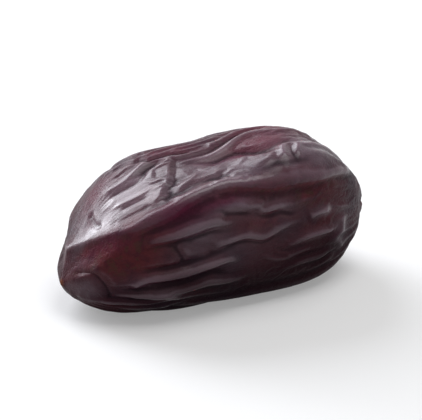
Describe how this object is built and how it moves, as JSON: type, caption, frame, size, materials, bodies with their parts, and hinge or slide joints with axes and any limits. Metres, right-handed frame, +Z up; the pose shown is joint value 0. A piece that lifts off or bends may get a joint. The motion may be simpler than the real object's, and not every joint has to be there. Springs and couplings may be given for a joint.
{
  "type": "dried date",
  "caption": "Dried date, a small oblong fruit lying on its side: dark glossy skin in long folds and wrinkles, a blunt stem end with a small corky pit, and a pressed-flat resting spot.",
  "frame": {"origin": "middle of the fruit's footprint, on the surface that it lies on", "axes": "+X along the fruit from the blossom tip to the stem end, +Z up out of the resting spot, -Y to the front"},
  "size_m": [0.0504, 0.0266, 0.0254],
  "materials": {
    "date_skin": "waxy, half-gloss, dark red-brown to near black, with a pale lilac bloom on the crests of its folds"
  },
  "bodies": {
    "root": {"date": "date_skin"}
  },
  "joints": []
}
